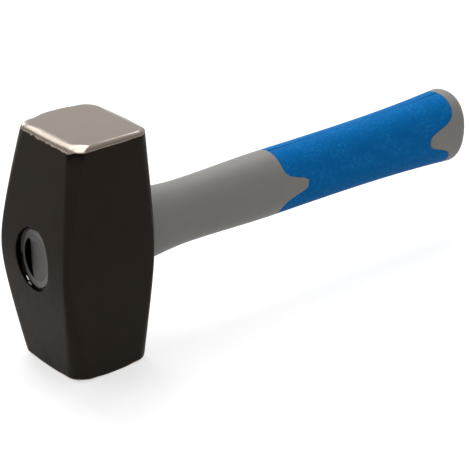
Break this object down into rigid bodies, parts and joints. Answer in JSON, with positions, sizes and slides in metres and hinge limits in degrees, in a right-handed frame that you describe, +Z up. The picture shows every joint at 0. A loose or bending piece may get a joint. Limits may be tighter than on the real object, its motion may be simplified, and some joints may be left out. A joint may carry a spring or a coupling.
{
  "type": "lump hammer",
  "caption": "Short-handled lump hammer with a black forged head, polished striking faces and a fibreglass-cored handle with a soft grip, for driving and breaking.",
  "frame": {"origin": "centre of the lower striking face, on which the hammer stands", "axes": "+Z up along the head from the lower to the upper striking face, +X along the handle from the head to the butt, Y across the head"},
  "size_m": [0.276, 0.0512, 0.115],
  "materials": {
    "lacquered_steel": "satin black lacquer, ground bright on the striking faces",
    "cured_resin": "cured, slightly glossy",
    "grey_plastic": "satin moulded",
    "blue_rubber": "matte moulded, finely grained",
    "glass_fibre": "sawn end, dull"
  },
  "bodies": {
    "root": {"head": "lacquered_steel", "epoxy_bond": "cured_resin", "handle_jacket": "grey_plastic", "grip_sleeve": "blue_rubber", "fibreglass_core": "glass_fibre"}
  },
  "joints": []
}
